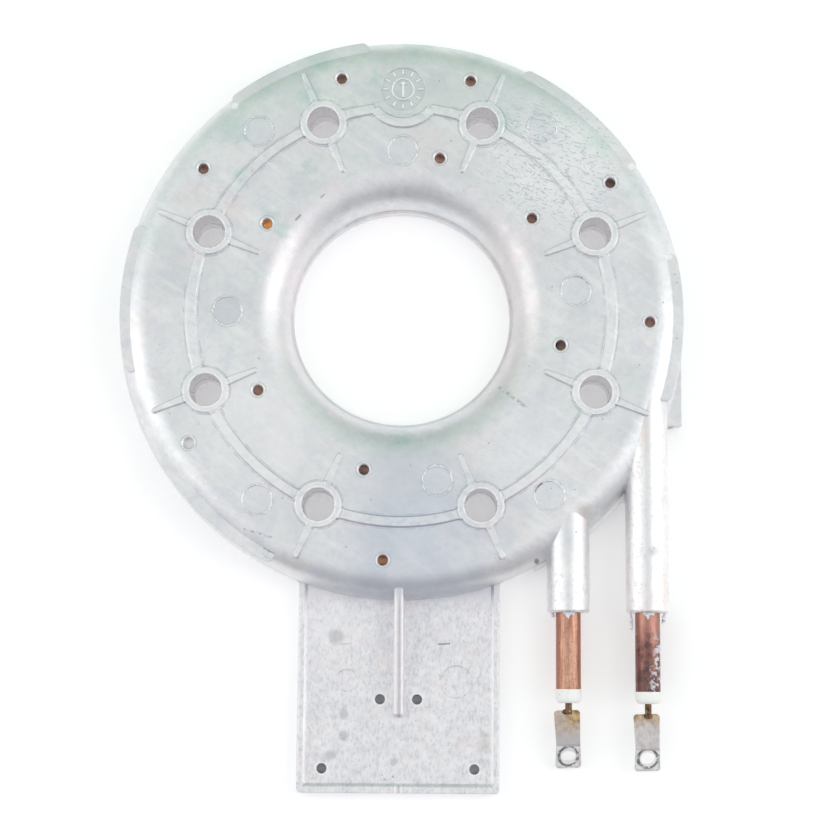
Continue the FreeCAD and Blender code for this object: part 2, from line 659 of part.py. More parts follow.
def terminal_tab(x, top_y, bend_deg, lean_deg, foot_len, hole_out):
    """A strip terminal: flat under the pin, then bent back, with a collared screw hole in its foot."""
    face_z = element_z - weld_flat
    bend_y = top_y - tab_flat_len
    a = math.radians(bend_deg)

    def bent(r, turn):
        return Vec(0, bend_y - r * math.sin(turn), face_z - tab_t - tab_bend_r + r * math.cos(turn))

    def foot(r, length):
        return bent(r, a) + Vec(0, -math.cos(a), -math.sin(a)) * length
    outer_r = tab_bend_r + tab_t
    strip_len = foot_len + tab_t
    edges = [
        line(Vec(0, top_y, face_z), bent(outer_r, 0)),
        Part.Arc(bent(outer_r, 0), bent(outer_r, a / 2), bent(outer_r, a)).toShape(),
        line(bent(outer_r, a), foot(outer_r, strip_len)),
        line(foot(outer_r, strip_len), foot(tab_bend_r, strip_len)),
        line(foot(tab_bend_r, strip_len), bent(tab_bend_r, a)),
        Part.Arc(bent(tab_bend_r, a), bent(tab_bend_r, a / 2), bent(tab_bend_r, 0)).toShape(),
        line(bent(tab_bend_r, 0), Vec(0, top_y, face_z - tab_t)),
        line(Vec(0, top_y, face_z - tab_t), Vec(0, top_y, face_z)),
    ]
    side_view = Part.Face(Part.Wire(edges))
    side_view.translate(Vec(x - tab_top_w, 0, 0))
    strip = side_view.extrude(Vec(2 * tab_top_w, 0, 0))
    end_y = foot(tab_bend_r, foot_len).y
    outline = [Vec(x - tab_top_w / 2, top_y, 0), Vec(x + tab_top_w / 2, top_y, 0)]
    outline += [Vec(x + tab_waist_w / 2, bend_y, 0), Vec(x + tab_foot_w / 2, end_y, 0)]
    outline += [Vec(x - tab_foot_w / 2, end_y, 0), Vec(x - tab_waist_w / 2, bend_y, 0)]
    blank = Part.Face(polygon(outline)).extrude(Vec(0, 0, 2 * element_z))
    blank.translate(Vec(0, 0, -element_z / 2))
    ends = [e for e in blank.Edges if abs(e.Vertexes[0].Z - e.Vertexes[1].Z) > tab_t
            and abs(e.Vertexes[0].Y - bend_y) > tab_t]
    tab = strip.common(blank.makeFillet(tab_corner_r, ends))
    normal = Vec(0, -math.sin(a), math.cos(a))
    hole = foot(tab_bend_r, hole_out)
    hole.x = x
    collar = Part.makeCylinder(tab_hole_r + tab_collar_w, tab_t + tab_collar_h, hole, normal)
    bore = Part.makeCylinder(tab_hole_r, tab_t + tab_collar_h + 2 * OVERRUN, hole - normal * OVERRUN, normal)
    tab = tab.fuse(collar).cut(bore)
    tab.rotate(Vec(x, top_y, 0), UP, lean_deg)
    tab.translate(Vec(tab_offset, 0, 0))
    return tab


def main():
    element_space = tube_along(sheath_r + cast_gap, long_sheath_end_y, short_sheath_end_y)
    nodes = {
        "ring_casting": ring_casting(element_space),
        "heater_sheath": heater_sheath(),
        "magnesia_fill": magnesia_fill(),
        "resistance_coil": resistance_coil(),
    }
    legs = (("long", long_leg_x, long_sheath_end_y, long_bead_h, long_bead_to_tab),
            ("short", short_leg_x, short_sheath_end_y, short_bead_h, short_bead_to_tab))
    tabs = {"long": (long_tab_bend_deg, long_tab_lean_deg, long_foot_len, long_hole_out),
            "short": (short_tab_bend_deg, short_tab_lean_deg, short_foot_len, short_hole_out)}
    for name, x, end_y, bead_h, bead_to_tab in legs:
        face_y = end_y - bead_h
        tab_top_y = face_y - bead_to_tab
        nodes["terminal_pin_" + name] = terminal_pin(x, tab_top_y)
        nodes["ceramic_bead_" + name] = ceramic_bead(x, end_y, face_y)
        nodes["terminal_tab_" + name] = terminal_tab(x, tab_top_y, *tabs[name])
    os.makedirs("parts", exist_ok=True)
    for name, shape in nodes.items():
        shape.exportStep("parts/" + name + ".step")
        print(name, "solids", len(shape.Solids), "valid", shape.isValid(), "mm3", round(shape.Volume, 1))


main()
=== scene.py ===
import json
import math
import random

import bmesh
import bpy
from mathutils import Matrix, Vector


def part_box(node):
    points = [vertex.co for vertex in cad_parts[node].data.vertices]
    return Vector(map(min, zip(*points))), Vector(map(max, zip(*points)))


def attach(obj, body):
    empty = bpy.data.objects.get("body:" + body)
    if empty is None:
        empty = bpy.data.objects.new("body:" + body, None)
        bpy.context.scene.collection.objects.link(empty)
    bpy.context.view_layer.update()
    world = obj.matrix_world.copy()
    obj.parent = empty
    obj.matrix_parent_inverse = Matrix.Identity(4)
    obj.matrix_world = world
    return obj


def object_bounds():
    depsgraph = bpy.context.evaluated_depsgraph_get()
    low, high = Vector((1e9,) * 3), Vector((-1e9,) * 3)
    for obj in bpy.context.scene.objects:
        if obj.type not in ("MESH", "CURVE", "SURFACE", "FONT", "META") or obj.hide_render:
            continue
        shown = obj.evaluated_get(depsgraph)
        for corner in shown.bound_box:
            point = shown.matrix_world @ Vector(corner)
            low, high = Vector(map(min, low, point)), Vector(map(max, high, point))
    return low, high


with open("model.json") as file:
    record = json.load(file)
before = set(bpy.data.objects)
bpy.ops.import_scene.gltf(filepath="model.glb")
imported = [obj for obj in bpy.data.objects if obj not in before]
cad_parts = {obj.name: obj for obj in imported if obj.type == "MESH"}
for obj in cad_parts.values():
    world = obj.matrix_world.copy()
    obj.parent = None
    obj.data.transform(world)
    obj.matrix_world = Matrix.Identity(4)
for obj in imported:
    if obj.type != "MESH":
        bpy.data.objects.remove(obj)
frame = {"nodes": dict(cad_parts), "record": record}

cad_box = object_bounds()

# Sizes that the looks need, in millimetres, as the record and the solids give them
MOUNTS = {m["name"]: m for m in frame["record"]["mounts"]}
BOLT_CIRCLE_R = MOUNTS["ring_bolts"]["dims"]["pcd_mm"] / 2
COLLAR_H = 1.1
SLEEVE_WALL = 3.0
MOUTH_PAST_RING = 3.95      # how far the sleeves reach past the ring's lowest point
RING_R = cad_box[1][1] * 1000
FRONT_Z = cad_box[1][2] * 1000 - COLLAR_H
SHEATH_R = (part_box("heater_sheath")[1].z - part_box("heater_sheath")[0].z) * 500
ELEMENT_Z = (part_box("heater_sheath")[1].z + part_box("heater_sheath")[0].z) * 500
LONG_X = (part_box("ceramic_bead_long")[0].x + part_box("ceramic_bead_long")[1].x) * 500
SHORT_X = (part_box("ceramic_bead_short")[0].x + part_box("ceramic_bead_short")[1].x) * 500
SLEEVE_R = SHEATH_R + SLEEVE_WALL
MOUTH_Y = -(RING_R + MOUTH_PAST_RING)


# ---------------------------------------------------------------- camera

VIEW_FROM = Vector((0.01169, -0.12551, 0.66427))
VIEW_AXES = Matrix(((0.9999, 0.0074, -0.0079), (-0.0063, 0.9906, 0.1363), (0.0089, -0.1362, 0.9906)))
LENS_MM = 84.7
SENSOR_MM = 36.0

lens = bpy.data.cameras.new("camera")
lens.lens = LENS_MM
lens.sensor_width = SENSOR_MM
camera = bpy.data.objects.new("camera", lens)
place = VIEW_AXES.inverted().to_4x4()
place.translation = VIEW_FROM
camera.matrix_world = place
bpy.context.scene.collection.objects.link(camera)
bpy.context.scene.camera = camera
bpy.context.scene.view_settings.view_transform = "Standard"


# ---------------------------------------------------------------- shader helpers

class Paint:
    """One material. Each method adds a node and returns its output; lengths are millimetres."""

    def __init__(self, name, world=None):
        self.block = world or bpy.data.materials.new(name)
        self.block.use_nodes = True
        self.tree = self.block.node_tree
        if world is None:
            self.shader = self.tree.nodes["Principled BSDF"]
            coord = self.node("ShaderNodeTexCoord").outputs["Object"]
            self.place = self.node("ShaderNodeVectorMath", {0: coord, "Scale": 1000.0},
                                   operation="SCALE").outputs["Vector"]
            self.x, self.y, self.z = self.split(self.place)

    def node(self, kind, inputs=None, **settings):
        n = self.tree.nodes.new(kind)
        for key, value in settings.items():
            setattr(n, key, value)
        for key, value in (inputs or {}).items():
            if isinstance(value, bpy.types.NodeSocket):
                self.tree.links.new(value, n.inputs[key])
            elif value is not None:
                n.inputs[key].default_value = value
        return n

    def split(self, v):
        return self.node("ShaderNodeSeparateXYZ", {0: v}).outputs

    def math(self, operation, a, b=None):
        return self.node("ShaderNodeMath", {0: a, 1: b}, operation=operation).outputs[0]

    def add(self, a, b):
        return self.math("ADD", a, b)

    def sub(self, a, b):
        return self.math("SUBTRACT", a, b)

    def mul(self, a, b):
        return self.math("MULTIPLY", a, b)

    def chain(self, operation, items):
        out = items[0]
        for item in items[1:]:
            out = self.math(operation, out, item)
        return out

    def most(self, *items):
        return self.chain("MAXIMUM", items)

    def least(self, *items):
        return self.chain("MINIMUM", items)

    def all(self, *items):
        return self.chain("MULTIPLY", items)

    def length(self, a, b):
        return self.math("SQRT", self.add(self.mul(a, a), self.mul(b, b)))

    def step(self, value, low, high, to_low=0.0, to_high=1.0):
        """Smooth change from one level to another as the value passes from low to high."""
        n = self.node("ShaderNodeMapRange", {"Value": value, "From Min": low, "From Max": high,
                                             "To Min": to_low, "To Max": to_high},
                      interpolation_type="SMOOTHSTEP")
        return n.outputs["Result"]

    def laid(self, size, stretch, turn, shift):
        """The place, turned in plan and then scaled, so a stretched pattern runs along its own direction."""
        at = self.place
        if turn:
            at = self.node("ShaderNodeVectorRotate", {"Vector": at, "Angle": math.radians(-turn)},
                           rotation_type="Z_AXIS").outputs[0]
        return self.node("ShaderNodeMapping", {"Vector": at, "Location": (shift, shift * 0.7, shift * 1.3),
                                               "Scale": tuple(1 / (size * s) for s in stretch)}).outputs[0]

    def noise(self, size, detail=3.0, rough=0.55, stretch=(1, 1, 1), turn=0.0, shift=0.0):
        """Smooth noise whose features are about this many millimetres across."""
        return self.node("ShaderNodeTexNoise", {"Vector": self.laid(size, stretch, turn, shift), "Scale": 1.0,
                                                "Detail": detail, "Roughness": rough}).outputs[0]

    def dots(self, size, radius, share, shift=0.0, stretch=(1, 1, 1), turn=0.0):
        """Scattered specks: one in some of the cells."""
        n = self.node("ShaderNodeTexVoronoi", {"Vector": self.laid(size, stretch, turn, shift), "Scale": 1.0})
        picked = self.math("GREATER_THAN", self.split(n.outputs["Color"])[0], 1 - share)
        return self.mul(self.step(n.outputs["Distance"], radius / size, radius / size * 0.5), picked)

    def scratches(self, length, width, turn, low, shift=0.0):
        """Fine lines along one direction, where thin stretched noise peaks."""
        return self.step(self.noise(width, 2.0, 0.5, (length / width, 1, 1), turn, shift), low, low + 0.05)

    def flat_distance(self, x, y):
        """Distance in plan from a point."""
        return self.length(self.sub(self.x, x), self.sub(self.y, y))

    def spot(self, x, y, radius, soft, wobble=None):
        """A round patch in plan with a soft edge, which a noise can make irregular."""
        d = self.flat_distance(x, y)
        if wobble is not None:
            d = self.add(d, wobble)
        return self.step(d, radius + soft, radius - soft)

    def spots(self, places, soft=0.6, wobble=None):
        """Several patches together, each given by its place in plan and its radius."""
        return self.most(*[self.spot(x, y, radius, radius * soft, wobble) for x, y, radius in places])

    def stroke(self, x0, y0, x1, y1, half_width):
        """A short straight mark in plan."""
        length = math.hypot(x1 - x0, y1 - y0)
        ux, uy = (x1 - x0) / length, (y1 - y0) / length
        dx, dy = self.sub(self.x, x0), self.sub(self.y, y0)
        along = self.add(self.mul(dx, ux), self.mul(dy, uy))
        across = self.sub(self.mul(dx, uy), self.mul(dy, ux))
        past = self.most(self.sub(along, length), 0.0)
        past = self.math("MAXIMUM", self.sub(0.0, along), past)
        return self.step(self.length(across, past), half_width, half_width * 0.3)

    def ring(self, distance, radius, half_width):
        """A soft line where the distance equals the radius."""
        off = self.math("ABSOLUTE", self.sub(distance, radius))
        return self.step(off, half_width, half_width * 0.3)

    def mix(self, factor, a, b):
        return self.node("ShaderNodeMix", {0: factor, 6: a, 7: b}, data_type="RGBA").outputs[2]

    def coat(self, colour, *amounts):
        """Lay a colour over the base, as strongly as the product of the amounts."""
        self.base = self.mix(self.all(*amounts), self.base, rgb(*colour))

    def ramp(self, value, *stops):
        n = self.node("ShaderNodeValToRGB", {0: value})
        while len(n.color_ramp.elements) < len(stops):
            n.color_ramp.elements.new(0.5)
        for element, (at, colour) in zip(n.color_ramp.elements, stops):
            element.position = at
            element.color = rgb(*colour)
        return n.outputs[0]

    def bump(self, height, depth, normal=None):
        """Relief from a height of 0 to 1 that is this many millimetres deep."""
        return self.node("ShaderNodeBump", {"Height": height, "Distance": depth / 1000, "Strength": 1.0,
                                            "Normal": normal}).outputs[0]

    def bevel(self, radius):
        return self.node("ShaderNodeBevel", {"Radius": radius / 1000}, samples=4).outputs[0]

    def finish(self, colour, roughness, normal=None, metallic=1.0):
        for key, value in (("Base Color", colour), ("Roughness", roughness), ("Normal", normal),
                           ("Metallic", metallic)):
            if isinstance(value, bpy.types.NodeSocket):
                self.tree.links.new(value, self.shader.inputs[key])
            elif value is not None:
                self.shader.inputs[key].default_value = value
        return self.block


def rgb(r, g, b):
    return (r, g, b, 1.0)


# ---------------------------------------------------------------- cast aluminium

# The casting's own features that its finish follows: radii, offsets from the bolt circle, and angles
HOLE_WALL_R = 5.5
HOLE_EDGE_R = 5.75
COLLAR_EDGE_R = 7.45
COLLAR_FOOT_R = 8.15
HOOP_OUT = 0.25
HOOP_FOOT_W = 2.35
DIAL_OUT = 6.8
DIAL_R = 7.4
LOCATOR_OUT, LOCATOR_OUTER_DEG = 13.0, (32.5, 74.0, 104.5, 144.0, 212.5, 266.3, 358.0)
LOCATOR_IN, LOCATOR_INNER_DEG = 15.7, (36.5, 76.6, 146.5, 209.4, 257.4, 348.4)
EJECTOR_OUT, EJECTOR_OUTER_DEG = 8.7, (53.4, 128.2, 233.4, 308.9)
EJECTOR_INNER = ((11.3, 7.4), (14.5, 89.9), (12.0, 180.0), (12.2, 282.4))   # how far in, and the angle
EJECTOR_R = 4.85
PLATE_RIGHT_X = 36.0     # the plate lies left of this, and the sleeves right of it
PLATE_EDGE_X = 31.1     # inner foot of the plate's long edge beads
PLATE_RIM_X = 33.0
PLATE_HOLE_R = 1.9

# Marks that only this casting has, with painted shade and painted highlights among them, by their place in
# plan: x, y and radius
BLUE_FLAT = (3.0, -60.0, 15.0)
PALE_FLAT_LEFT = (-46.0, -38.0, 17.0)
PALE_FLAT_RIGHT = (44.0, -46.0, 12.0)
# painted shade: the lower rim beside the plate darkened for the shade and dim reflection it has there
RIM_PAINTED_SHADE = (4.0, -86.0, 24.0)
GREEN_SPOTS = ((-32.0, 75.0, 3.2), (-30.0, 88.0, 5.0), (-44.0, 33.0, 2.6), (34.0, 66.0, 6.0),
               (47.0, 66.0, 4.0), (66.0, 58.0, 3.5), (-9.0, 80.0, 2.2), (5.0, 94.0, 4.0), (26.0, 91.0, 4.0),
               (-57.0, 62.0, 4.0), (-41.0, 28.0, 2.4), (20.0, 26.0, 2.2), (0.0, -42.0, 3.0),
               (-54.3, 45.2, 2.4), (-31.0, 49.1, 1.8), (55.0, 68.4, 2.6))
SCUFFED_FIELD = (52.0, 52.0, 22.0)
RUBBED_PATCH = (33.0, -43.5, 6.0)
PINK_PATCH = (-57.2, 34.8, 4.0)
BROWN_PATCH = (60.6, -65.7, 2.0)
RIM_GLINTS = ((-57.0, 71.0, 1.2), (77.3, 50.6, 1.2), (89.5, 19.8, 1.2))
WORN_MARK = (-58.0, 0.0, 4.7)
DARK_MARK_EDGES = ((59.9, 12.0, 3.4), (12.9, -51.8, 3.6), (46.0, -57.5, 3.0))
# painted shadow in the notch by the long sleeve's gate and in the gap beside the short sleeve's lug
NOTCH_SHADOWS = ((90.8, -38.3, 1.5), (45.4, -82.6, 0.8))
SLEEVE_BURN = (83.9, -79.1, 1.8)
PALE_PLATE = (-21.0, -103.0, 11.0)
PLATE_GRIME = ((28.3, -139.5, 1.4), (28.6, -143.0, 1.8))
PLATE_STAINS = ((-20.8, -107.7, 2.4), (-18.1, -132.8, 1.5), (-18.0, -140.0, 1.5), (-22.6, -146.6, 1.8),
                (-1.7, -148.7, 1.2))
PLATE_CRUMBS = (-2.6, -152.3, 3.0)
# Strokes: x and y of both ends, and half the width
DASHES = ((-35.6, 31.3, -34.2, 32.8, 0.55), (-27.3, 39.0, -26.3, 40.0, 0.35))
TORN_LINES = ((33.1, -25.1, 41.4, -31.8, 0.9), (-50.9, -72.9, -42.2, -75.5, 0.6))
DARK_SLOT = (13.2, -109.8, 16.8, -109.6, 0.35)
FAINT_SLOT = (-18.9, -110.0, -15.9, -109.8, 0.3)

GLINT = (0.98, 0.98, 0.98)
WHITE = (0.99, 0.99, 0.99)


def around(out, deg):
    """The point in plan at this distance beyond the bolt circle and at this angle."""
    a = math.radians(deg)
    return (BOLT_CIRCLE_R + out) * math.cos(a), (BOLT_CIRCLE_R + out) * math.sin(a)


def casting_skin(p):
    """Faint clouds, flow lines, and pinkish, greenish and bluish drifts."""
    p.base = p.ramp(p.cloud, (0.30, (0.70, 0.715, 0.735)), (0.52, (0.79, 0.797, 0.81)),
                    (0.72, (0.86, 0.86, 0.865)))
    p.coat((0.84, 0.835, 0.84), p.step(p.patchy, 0.40, 0.75, 0.0, 0.55))
    p.coat((0.88, 0.77, 0.78), p.step(p.noise(16.0, 4.0, 0.6, shift=20.0), 0.52, 0.70, 0.0, 0.38))
    p.coat((0.68, 0.78, 0.75), p.step(p.noise(12.0, 4.0, 0.6, shift=31.0), 0.53, 0.72, 0.0, 0.38))
    p.coat((0.64, 0.68, 0.77), p.step(p.noise(7.0, 4.0, 0.6, shift=37.0), 0.50, 0.68, 0.0, 0.32))
    p.coat((0.60, 0.61, 0.65), p.step(p.noise(2.2, 4.0, 0.7, shift=43.0), 0.46, 0.64, 0.0, 0.22))
    flow = p.noise(3.0, 3.0, 0.6, (6, 1, 1), 38.0, 5.0)
    p.coat((0.62, 0.65, 0.69), p.step(flow, 0.55, 0.8, 0.0, 0.25))
    crossing = p.noise(3.5, 4.0, 0.65, (5, 1, 1), -35.0, 47.0)
    p.coat((0.93, 0.92, 0.92), p.step(crossing, 0.52, 0.68, 0.0, 0.40))

    # broad lighter and darker areas
    drift = p.mul(p.sub(p.cloud, 0.5), 20.0)
    p.coat((0.58, 0.62, 0.70), p.spot(*BLUE_FLAT, 12.0, drift), 0.42)
    p.coat((0.95, 0.94, 0.95), p.spot(*PALE_FLAT_LEFT, 12.0, drift), 0.45)
    p.coat((0.93, 0.93, 0.97), p.spot(*PALE_FLAT_RIGHT, 10.0, drift), 0.30)
    # painted shade on the lower rim beside the plate
    p.coat((0.50, 0.57, 0.70), p.spot(*RIM_PAINTED_SHADE, 16.0, p.slow_drift), 0.34)
    bell = p.step(p.r, 50.0, 42.0)
    p.coat((0.66, 0.57, 0.55), bell, p.step(p.x, 18.0, 36.0), 0.34)
    p.coat((0.95, 0.85, 0.87), bell, p.step(p.x, -18.0, -36.0), 0.26)

    # verdigris and grey-green film near the top edge
    north = p.step(p.add(p.y, p.mul(p.cloud, 30.0)), 62.0, 100.0)
    p.coat((0.50, 0.66, 0.56), north, 0.20)
    p.coat((0.30, 0.56, 0.50), p.spots(GREEN_SPOTS, 0.7, p.wobble), 0.27)


def scuffs(p):
    """Scuffed field at the upper right, scratches elsewhere, and painted glints at the ends of the rim lands;
    returns the field, cuts and hairlines.
    """
    scuffed = p.spot(*SCUFFED_FIELD, 9.0, p.mul(p.sub(p.patchy, 0.5), 30.0))
    gouges = p.most(p.scratches(6.0, 0.55, -18.0, 0.66, 1.0), p.scratches(4.5, 0.5, -40.0, 0.68, 9.0),
                    p.scratches(5.0, 0.5, 22.0, 0.69, 15.0))
    nicks = p.most(p.scratches(2.6, 0.34, -30.0, 0.67, 61.0), p.scratches(2.0, 0.30, 48.0, 0.68, 67.0),
                   p.scratches(3.2, 0.28, -8.0, 0.68, 71.0))
    gouges = p.mul(p.most(gouges, nicks), scuffed)
    crumbs = p.mul(p.dots(1.6, 0.36, 0.5, 4.0, (1.6, 1, 1), -20.0), scuffed)
    hair = p.most(p.scratches(14.0, 0.30, 35.0, 0.735, 23.0), p.scratches(18.0, 0.30, -62.0, 0.74, 29.0),
                  p.scratches(12.0, 0.30, 8.0, 0.745, 33.0),
                  p.mul(p.scratches(7.0, 0.28, -12.0, 0.60, 79.0), p.spot(*RUBBED_PATCH, 3.0)))
    p.coat((0.97, 0.97, 0.98), scuffed, 0.42)
    p.coat((0.42, 0.46, 0.55), gouges, 0.34)
    p.coat((0.28, 0.30, 0.37), crumbs, 0.32)
    p.coat((0.93, 0.93, 0.94), hair, 0.5)
    dashes = p.most(*(p.stroke(*line) for line in DASHES))
    torn = p.mul(p.most(*(p.stroke(*line) for line in TORN_LINES)),
                 p.step(p.noise(1.4, 3.0, 0.6, shift=83.0), 0.44, 0.56))
    p.coat((0.22, 0.27, 0.28), p.most(p.mul(dashes, 0.65), p.mul(torn, 0.45)))
    p.coat((0.90, 0.70, 0.70), p.spot(*PINK_PATCH, 3.0, p.wobble), 0.24)
    p.coat((0.44, 0.33, 0.27), p.spot(*BROWN_PATCH, 1.6, p.mul(p.wobble, 0.2)), 0.40)
    # painted highlights: glints at the ends of the rim lands
    p.coat(WHITE, p.spots(RIM_GLINTS, 0.4), 0.85)
    return scuffed, p.most(gouges, crumbs), hair


def dial_coats(p):
    """The date dial: bright raised strokes on a duller ground."""
    dial = p.spot(0.0, BOLT_CIRCLE_R + DIAL_OUT, DIAL_R, 0.1)
    raised = p.step(p.z, FRONT_Z - 0.24, FRONT_Z - 0.08)
    p.coat(WHITE, dial, raised, 0.90)
    p.coat((0.52, 0.57, 0.58), dial, p.sub(1.0, raised), 0.22)


def boss_coats(p):
    """Painted highlights on each boss's hole edge, raised faces and collar edge, painted shade at the collar's
    foot and beside the hoop, and a paler hole wall; the bosses fold onto one.
    """
    eighth = math.pi / 4
    turn = p.math("ADD", p.math("ARCTAN2", p.y, p.x), 2 * math.pi)
    fold = p.sub(p.math("MODULO", turn, eighth), eighth / 2)
    fx = p.sub(p.mul(p.r, p.math("COSINE", fold)), BOLT_CIRCLE_R)
    fy = p.mul(p.r, p.math("SINE", fold))
    boss = p.length(fx, fy)
    # painted highlight on the raised faces, broken by noise
    proud = p.step(p.z, FRONT_Z + 0.35, FRONT_Z + 0.75)
    p.coat((0.95, 0.95, 0.96), proud, p.step(p.noise(2.6, 3.0, 0.6, shift=105.0), 0.36, 0.56), 0.32)
    from_hoop = p.math("ABSOLUTE", p.sub(p.r, BOLT_CIRCLE_R + HOOP_OUT))
    # painted shade along both feet of the hoop rib, away from the bosses
    p.coat((0.44, 0.46, 0.51), p.front, p.ring(from_hoop, HOOP_FOOT_W, 0.35), p.step(boss, 7.6, 8.6),
           p.step(p.noise(4.0, 3.0, 0.6, shift=109.0), 0.44, 0.56), 0.42)
    # painted highlights on the hole edge and the collar edge, and painted shade at the collar's foot
    p.coat(GLINT, p.ring(boss, HOLE_EDGE_R, 0.45), p.broken, 0.75)
    p.coat((0.97, 0.97, 0.98), p.ring(boss, COLLAR_EDGE_R, 0.40), p.broken, 0.75)
    p.coat((0.48, 0.50, 0.55), p.ring(boss, COLLAR_FOOT_R, 0.35), p.broken, 0.60)
    p.coat((0.96, 0.94, 0.96), p.step(boss, HOLE_WALL_R, HOLE_WALL_R - 0.15))


def locator_coats(p):
    """Painted highlight on the chamfer and painted shade at the outer edge of each locator hole."""
    places = [around(LOCATOR_OUT, deg) for deg in LOCATOR_OUTER_DEG]
    places += [around(-LOCATOR_IN, deg) for deg in LOCATOR_INNER_DEG]
    nearest = p.least(*(p.flat_distance(x, y) for x, y in places))
    # painted highlight on the chamfer, painted shade just outside it
    p.coat(GLINT, p.front, p.ring(nearest, 2.0, 0.42), 0.85)
    p.coat((0.42, 0.44, 0.48), p.front, p.ring(nearest, 2.65, 0.28), p.broken, 0.50)


def ejector_coats(p):
    """Sinks of the ejector pins, with a torn edge in painted highlight, a ring of painted shade outside it,
    and painted shadow in two notches of the rim; returns the edges and the turned floors.
    """
    rough_edge = p.mul(p.sub(p.noise(1.3, 3.0, 0.6, shift=17.0), 0.5), 1.2)
    places = [around(EJECTOR_OUT, deg) for deg in EJECTOR_OUTER_DEG]
    places += [around(-far, deg) for far, deg in EJECTOR_INNER]
    away = [p.add(p.flat_distance(x, y), rough_edge) for x, y in places]
    worn = p.step(p.noise(2.2, 2.0, 0.5, shift=41.0), 0.40, 0.56)
    edges = p.all(p.most(*(p.ring(d, EJECTOR_R, 0.32) for d in away)), p.front, worn)
    inside = p.mul(p.most(*(p.step(d, 4.9, 4.4) for d in away)), p.front)
    rim_shade = p.all(p.most(*(p.ring(d, 5.4, 0.26) for d in away)), p.front, p.sub(1.0, p.mul(worn, 0.7)))
    turned = p.mul(inside, p.step(p.noise(0.8, 3.0, 0.7, shift=87.0), 0.42, 0.60))
    p.coat((0.50, 0.54, 0.57), p.spot(*WORN_MARK, 0.5), 0.45)
    p.coat((0.74, 0.77, 0.82), inside, 0.30)
    p.coat((0.55, 0.57, 0.61), turned, 0.10)
    # painted highlight on the torn edges, then painted shade in the ring just outside them
    p.coat(GLINT, edges, 0.80)
    p.coat((0.40, 0.43, 0.48), rim_shade, 0.42)
    p.coat((0.16, 0.17, 0.20), edges, p.spots(DARK_MARK_EDGES, 0.3), 0.85)
    # painted shadow in the two notches
    p.coat((0.10, 0.10, 0.12), p.spots(NOTCH_SHADOWS, 0.4, p.mul(p.wobble, 0.04)), 0.7)
    return edges, turned


def sleeve_coats(p):
    """The sleeves: laid near white as painted sheen, speckled, with warm stains, a lilac painted reflection
    along each crown and painted shade at the mouths; returns their specks.
    """
    height_off = p.sub(p.z, ELEMENT_Z)
    skins = []
    for x, root_y in ((LONG_X, -20.0), (SHORT_X, -70.0)):
        away = p.length(p.sub(p.x, x), height_off)
        wall = p.step(p.math("ABSOLUTE", p.sub(away, SLEEVE_R)), 0.14, 0.05)
        mouth = p.mul(p.step(p.y, MOUTH_Y + 1.4, MOUTH_Y + 1.2), p.step(away, SLEEVE_R + 0.3, SLEEVE_R))
        fade = p.step(p.add(p.y, p.mul(p.patchy, 8.0)), root_y, root_y - 15.0)
        skins.append(p.mul(p.most(wall, mouth), fade))
    sleeve = p.most(*skins)
    # painted sheen: the sleeves laid near white
    p.coat((0.99, 0.985, 0.98), sleeve, 0.75)
    p.coat((0.70, 0.68, 0.74), sleeve, p.step(p.noise(3.2, 4.0, 0.65, shift=55.0), 0.46, 0.66), 0.26)
    specks = p.mul(sleeve, p.step(p.noise(1.1, 3.0, 0.7, shift=51.0), 0.54, 0.66))
    p.coat((0.56, 0.54, 0.54), specks, 0.24)
    p.coat((0.30, 0.27, 0.27), sleeve, p.spots((SLEEVE_BURN,), 0.7, p.mul(p.wobble, 0.15)), 0.42)
    # painted reflection: a darker lilac stripe along each sleeve's crown
    wavy = p.add(p.x, p.mul(p.patchy, 1.6))
    lilac_reflection = p.most(p.mul(p.ring(wavy, SHORT_X + 0.9, 1.5), p.step(p.y, -82.0, -90.0)),
                   p.ring(wavy, LONG_X + 0.6, 1.6))
    p.coat((0.66, 0.64, 0.70), sleeve, lilac_reflection, 0.34)
    # painted shade along the lower edge of each mouth
    p.coat((0.50, 0.48, 0.50), sleeve, p.step(p.y, MOUTH_Y + 1.1, MOUTH_Y + 0.2), p.broken, 0.40)
    rosy = p.step(p.noise(6.0, 4.0, 0.6, (1, 2.2, 1), shift=57.0), 0.50, 0.68)
    p.coat((0.84, 0.68, 0.62), sleeve, rosy, 0.40)
    return specks


